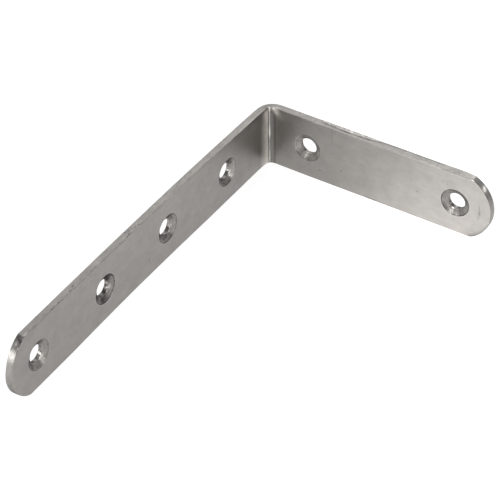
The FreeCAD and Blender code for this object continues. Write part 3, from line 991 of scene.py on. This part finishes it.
def speck_group():
    """Small scattered pits."""
    tree, given, out = new_group("Specks", {"Spacing": 1.5, "Share": 0.2}, ("Mask",))
    scale = calc(tree, "DIVIDE", 1.0, given["Spacing"])
    cells = add(tree, "ShaderNodeTexVoronoi", {"Vector": given["Place"], "Scale": scale}, feature="F1")
    parts = add(tree, "ShaderNodeSeparateColor", {0: cells.outputs["Color"]}).outputs
    chosen = calc(tree, "LESS_THAN", parts[0], given["Share"])
    near = add(tree, "ShaderNodeMapRange",
               {"Value": cells.outputs["Distance"], "From Min": 0.16, "From Max": 0.04}).outputs[0]
    tree.links.new(calc(tree, "MULTIPLY", chosen, near), out["Mask"])
    return tree


GRAIN, BLOTCH, SPECKS = grain_group(), blotch_group(), speck_group()


def steel_material(name, color, aslant, length, width, roughness, roughness_change, bump, tone_change,
                   stretch):
    """Satin steel of one finish."""
    material, tree, surface = new_material(name)
    grain_place = add(tree, "ShaderNodeUVMap", uv_map="grain").outputs["UV"]
    strip_place = read(tree, "strip_place", "Vector")
    lines, patches, specks = (
        add(tree, "ShaderNodeGroup", sockets, node_tree=group).outputs for group, sockets in (
            (GRAIN, {"Place": grain_place, "Length": length, "Width": width}),
            (BLOTCH, {"Place": strip_place, "Size": PATCH_SIZE}),
            (SPECKS, {"Place": strip_place, "Spacing": SPECK_SPACING, "Share": SPECK_SHARE})))

    line_tone = calc(tree, "MULTIPLY", lines["Tone"], 1 - PATCH_SHARE)
    mixed = calc(tree, "MULTIPLY_ADD", patches["Patch"], PATCH_SHARE, line_tone)
    tone = calc(tree, "MULTIPLY_ADD", mixed, 2 * tone_change, 1 - tone_change)
    worn = calc(tree, "MULTIPLY_ADD", read(tree, "edge_wear"), WEAR_TONE, tone)
    # Painted highlights and painted shade from the mesh brighten and darken the colour here
    toned_and_painted = calc(tree, "MULTIPLY", worn, calc(tree, "ADD", read(tree, "mark"), 1.0))
    pitted = calc(tree, "MULTIPLY", toned_and_painted, calc(tree, "MULTIPLY_ADD", specks["Mask"], SPECK_TONE, 1.0))
    shade = add(tree, "ShaderNodeVectorMath", {0: color}, operation="SCALE")
    tree.links.new(pitted, shade.inputs["Scale"])

    satin = calc(tree, "MULTIPLY_ADD", lines["Height"], roughness_change, roughness - roughness_change / 2)
    rough = calc(tree, "MULTIPLY_ADD", read(tree, "matte"), MATTE_ROUGHNESS, satin)
    height = calc(tree, "MULTIPLY_ADD", specks["Mask"], SPECK_HEIGHT, lines["Height"])
    normal = add(tree, "ShaderNodeBump",
                 {"Height": height, "Strength": bump, "Distance": width * GRAIN_HEIGHT * MM})
    tangent = add(tree, "ShaderNodeTangent", direction_type="UV_MAP", uv_map="grain")
    metal = add(tree, "ShaderNodeBsdfPrincipled",
                {"Base Color": shade.outputs[0], "Metallic": 1.0, "Roughness": rough,
                 "Anisotropic": stretch, "Specular Tint": (aslant, aslant, aslant, 1),
                 "Normal": normal.outputs[0], "Tangent": tangent.outputs[0]})
    tree.links.new(metal.outputs[0], surface)
    return material


def make_floor():
    """A wide pale floor that shows white, and keeps the bracket's soft shadow."""
    mesh = bpy.data.meshes.new("floor")
    corners = [(x * FLOOR_REACH, y * FLOOR_REACH, 0) for x, y in ((-1, -1), (1, -1), (1, 1), (-1, 1))]
    mesh.from_pydata(corners, [], [(0, 1, 2, 3)])
    floor = new_object("floor", mesh)
    material, tree, surface = new_material("pale_floor")
    rays = add(tree, "ShaderNodeLightPath").outputs
    seen = calc(tree, "ADD", calc(tree, "ADD", rays["Is Camera Ray"], rays["Is Glossy Ray"]),
                rays["Is Transmission Ray"], clamp=True)
    paper = add(tree, "ShaderNodeBsdfPrincipled",
                {"Base Color": (FLOOR_TONE, FLOOR_TONE, FLOOR_TONE, 1), "Roughness": 1.0,
                 "Specular IOR Level": 0.0, "Emission Color": (1, 1, 1, 1),
                 "Emission Strength": calc(tree, "MULTIPLY", seen, FLOOR_WHITE)})
    tree.links.new(paper.outputs[0], surface)
    mesh.materials.append(material)


def hang_lamp(name, data, place, target):
    """Puts a lamp at a place, facing another."""
    lamp = new_object(name, data)
    lamp.location = place
    lamp.rotation_euler = (Vector(target) - Vector(place)).to_track_quat("-Z", "Y").to_euler()


def make_lamp(name, place, target, size, radiance):
    """A soft lamp."""
    data = bpy.data.lights.new(name, "AREA")
    data.shape = "RECTANGLE"
    data.size, data.size_y = size
    data.energy = radiance * math.pi * size[0] * size[1]
    hang_lamp(name, data, place, target)


def make_pool(name, place, target, radius, radiance):
    """A lamp above the floor that casts a soft pool of light on it."""
    away = (Vector(target) - Vector(place)).length
    data = bpy.data.lights.new(name, "SPOT")
    data.spot_size = 2 * math.atan(radius / away)
    data.spot_blend = 1.0
    data.shadow_soft_size = POOL_LAMP_RADIUS
    data.energy = radiance * 4 * math.pi ** 2 * away ** 2 / FLOOR_TONE
    hang_lamp(name, data, place, target)


def light_scene():
    """Soft lamps round the bracket, pools of light on the floor and a grey room."""
    for lamp in LAMPS:
        make_lamp(*lamp)
    for pool in POOLS:
        make_pool(*pool)
    world = bpy.data.worlds.new("room")
    bpy.context.scene.world = world
    world.use_nodes = True
    background = world.node_tree.nodes["Background"]
    fill(world.node_tree, background, {"Color": (1, 1, 1, 1), "Strength": ROOM_LIGHT})


def make_camera():
    """The camera that took the photograph."""
    data = bpy.data.cameras.new("camera")
    data.lens = FOCAL_LENGTH
    data.sensor_width = SENSOR_WIDTH
    data.clip_start, data.clip_end = 0.01, 20
    camera = new_object("camera", data)
    camera.location = Vector(CAMERA_PLACE) * MM
    camera.rotation_euler = [math.radians(turn) for turn in CAMERA_TURNS]
    bpy.context.scene.camera = camera


bracket = make_bracket()
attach(bracket, "root")
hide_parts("bracket")

make_floor()
light_scene()
make_camera()
bpy.context.scene.view_settings.view_transform = "Standard"
